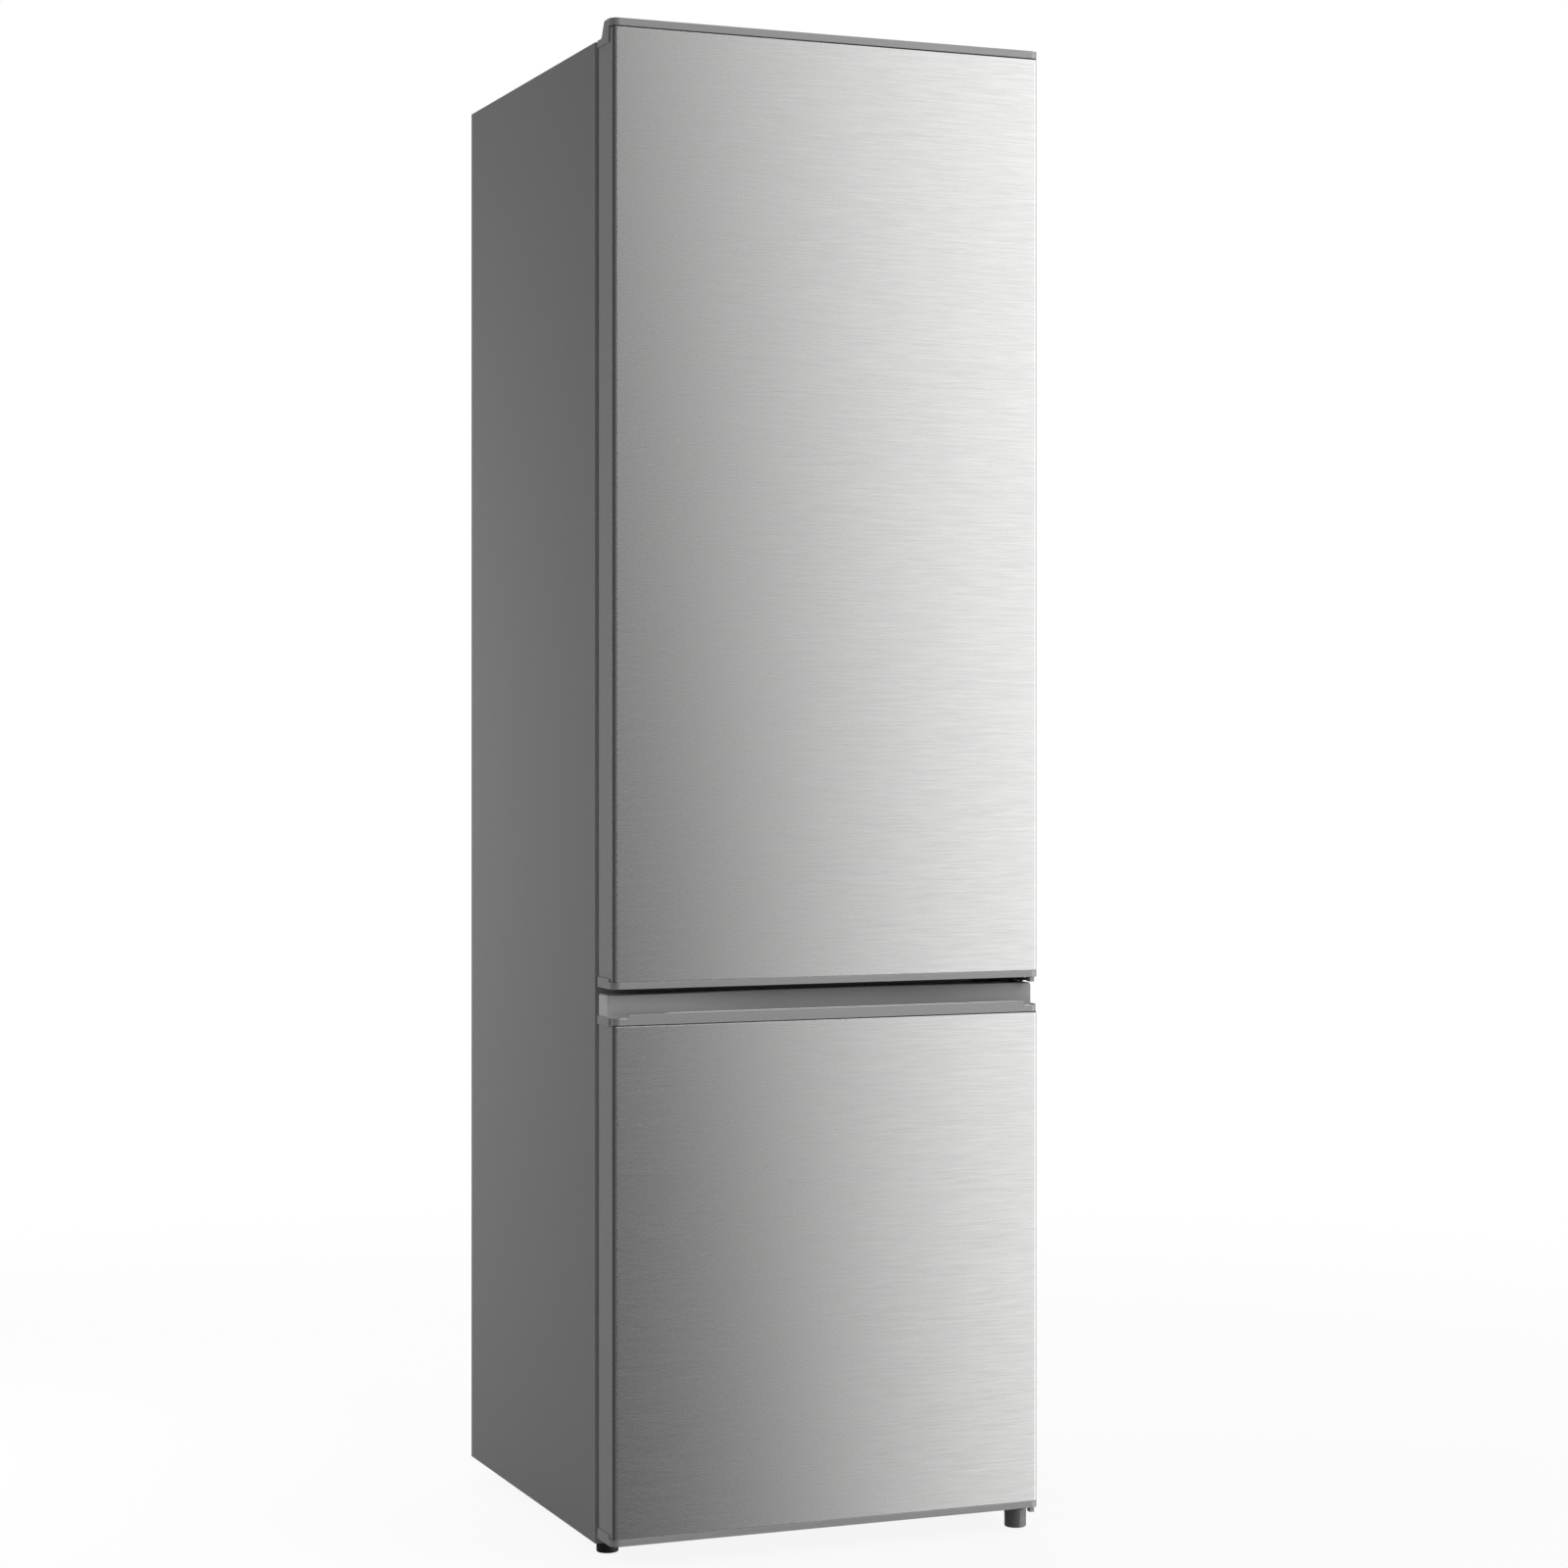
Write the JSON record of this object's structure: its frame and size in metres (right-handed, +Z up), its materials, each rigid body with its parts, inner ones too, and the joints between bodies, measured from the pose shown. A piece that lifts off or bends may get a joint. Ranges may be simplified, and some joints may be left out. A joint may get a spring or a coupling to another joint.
{
  "type": "fridge freezer",
  "caption": "Tall free-standing fridge freezer with a brushed metal fridge door above a freezer door, a full-width finger recess between them and an open rear condenser.",
  "frame": {"origin": "on the floor, under the middle of the bounding box, doors closed", "axes": "+X to the viewer's right (the hinge side), +Y from the doors to the back, +Z up"},
  "size_m": [0.549, 0.598, 1.8],
  "materials": {
    "brushed_steel": "brushed along the width",
    "grey_paint": "satin coil paint",
    "zinc_steel": "zinc plated sheet",
    "pin_steel": "ground and plated",
    "black_paint": "satin black paint",
    "grey_plastic": "fine spark-eroded texture",
    "black_plastic": "moulded, matt",
    "white_plastic": "vacuum formed or moulded, semi gloss",
    "clear_plastic": "clear moulded polystyrene",
    "foam": "rigid foam",
    "seal_rubber": "soft extrusion",
    "mount_rubber": "moulded rubber",
    "glass": "clear float glass",
    "aluminium": "rolled sheet",
    "copper": "drawn copper tube"
  },
  "bodies": {
    "cabinet": {"side_panels": "grey_paint", "top_panel": "grey_paint", "middle_rail": "grey_paint", "back_panel": "zinc_steel", "base_plate": "zinc_steel", "niche_panel": "zinc_steel", "compressor_plate": "zinc_steel", "fridge_liner": "white_plastic", "freezer_liner": "white_plastic", "cabinet_foam": "foam", "drain_tube": "white_plastic", "top_hinge": "zinc_steel", "middle_hinge": "black_paint", "lower_hinge": "zinc_steel", "hinge_pins": "pin_steel", "hinge_screws": "pin_steel", "top_hinge_cover": "grey_plastic", "roller_axles": "pin_steel", "condenser_tube": "black_paint", "condenser_wires": "black_paint", "condenser_clips": "black_plastic", "compressor": "black_paint", "compressor_mounts": "mount_rubber", "relay_cover": "black_plastic", "evaporating_tray": "black_plastic", "filter_drier": "copper", "refrigerant_pipes": "copper", "supply_gland": "black_plastic", "glass_shelves": "glass", "shelf_trims": "white_plastic", "thermostat_housing": "white_plastic", "lamp_cover": "clear_plastic", "evaporator_shelves": "aluminium"},
    "upper_door": {"upper_door_skin": "brushed_steel", "upper_door_top_cap": "grey_plastic", "upper_door_bottom_cap": "grey_plastic", "upper_door_liner": "white_plastic", "upper_door_seal": "seal_rubber", "upper_door_foam": "foam", "upper_door_bushes": "black_plastic", "bottle_shelf": "clear_plastic", "middle_door_shelf": "clear_plastic", "upper_door_shelf": "clear_plastic"},
    "lower_door": {"lower_door_skin": "brushed_steel", "lower_door_handle_cap": "grey_plastic", "lower_door_bottom_cap": "grey_plastic", "lower_door_liner": "white_plastic", "lower_door_seal": "seal_rubber", "lower_door_foam": "foam", "lower_door_bushes": "black_plastic"},
    "crisper": {"crisper_drawer": "clear_plastic"},
    "bottom_drawer": {"bottom_freezer_drawer": "clear_plastic"},
    "middle_drawer": {"middle_freezer_drawer": "clear_plastic"},
    "top_drawer": {"top_freezer_drawer": "clear_plastic"},
    "dial": {"thermostat_dial": "white_plastic"},
    "switch_plunger": {"door_switch": "white_plastic"},
    "left_foot_body": {"left_foot": "black_plastic"},
    "right_foot_body": {"right_foot": "grey_plastic"},
    "left_roller_body": {"left_roller": "black_plastic"},
    "right_roller_body": {"right_roller": "black_plastic"}
  },
  "joints": [
    {"name": "upper_door_hinge", "type": "hinge", "parent": "cabinet", "child": "upper_door", "pos_m": [0.2605, -0.261, 0], "axis": [0, 0, 1], "range_deg": [0, 120]},
    {"name": "lower_door_hinge", "type": "hinge", "parent": "cabinet", "child": "lower_door", "pos_m": [0.2605, -0.261, 0], "axis": [0, 0, 1], "range_deg": [0, 120]},
    {"name": "crisper_slide", "type": "slide", "parent": "cabinet", "child": "crisper", "axis": [0, -1, 0], "range_m": [0, 0.22]},
    {"name": "bottom_drawer_slide", "type": "slide", "parent": "cabinet", "child": "bottom_drawer", "axis": [0, -1, 0], "range_m": [0, 0.1467]},
    {"name": "middle_drawer_slide", "type": "slide", "parent": "cabinet", "child": "middle_drawer", "axis": [0, -1, 0], "range_m": [0, 0.1467]},
    {"name": "top_drawer_slide", "type": "slide", "parent": "cabinet", "child": "top_drawer", "axis": [0, -1, 0], "range_m": [0, 0.1467]},
    {"name": "switch_travel", "type": "slide", "parent": "cabinet", "child": "switch_plunger", "axis": [0, -1, 0], "range_m": [0, 0.004]},
    {"name": "dial_turn", "type": "hinge", "parent": "cabinet", "child": "dial", "pos_m": [0.062, -0.142, 1.7], "axis": [0, 0, 1], "range_deg": [0, 270]},
    {"name": "left_foot_turn", "type": "hinge", "parent": "cabinet", "child": "left_foot_body", "pos_m": [-0.244, -0.195, 0], "axis": [0, 0, 1], "continuous": true},
    {"name": "right_foot_turn", "type": "hinge", "parent": "cabinet", "child": "right_foot_body", "pos_m": [0.2605, -0.261, 0], "axis": [0, 0, 1], "continuous": true},
    {"name": "left_roller_spin", "type": "hinge", "parent": "cabinet", "child": "left_roller_body", "pos_m": [-0.236, 0.249, 0.014], "axis": [1, 0, 0], "continuous": true},
    {"name": "right_roller_spin", "type": "hinge", "parent": "cabinet", "child": "right_roller_body", "pos_m": [0.236, 0.249, 0.014], "axis": [1, 0, 0], "continuous": true}
  ],
  "couplings": [
    {"joint": "crisper_slide", "follows": "upper_door_hinge", "m_per_rad": 0.105},
    {"joint": "switch_travel", "follows": "upper_door_hinge", "m_per_rad": 0.0019},
    {"joint": "bottom_drawer_slide", "follows": "lower_door_hinge", "m_per_rad": 0.07},
    {"joint": "middle_drawer_slide", "follows": "lower_door_hinge", "m_per_rad": 0.07},
    {"joint": "top_drawer_slide", "follows": "lower_door_hinge", "m_per_rad": 0.07}
  ]
}
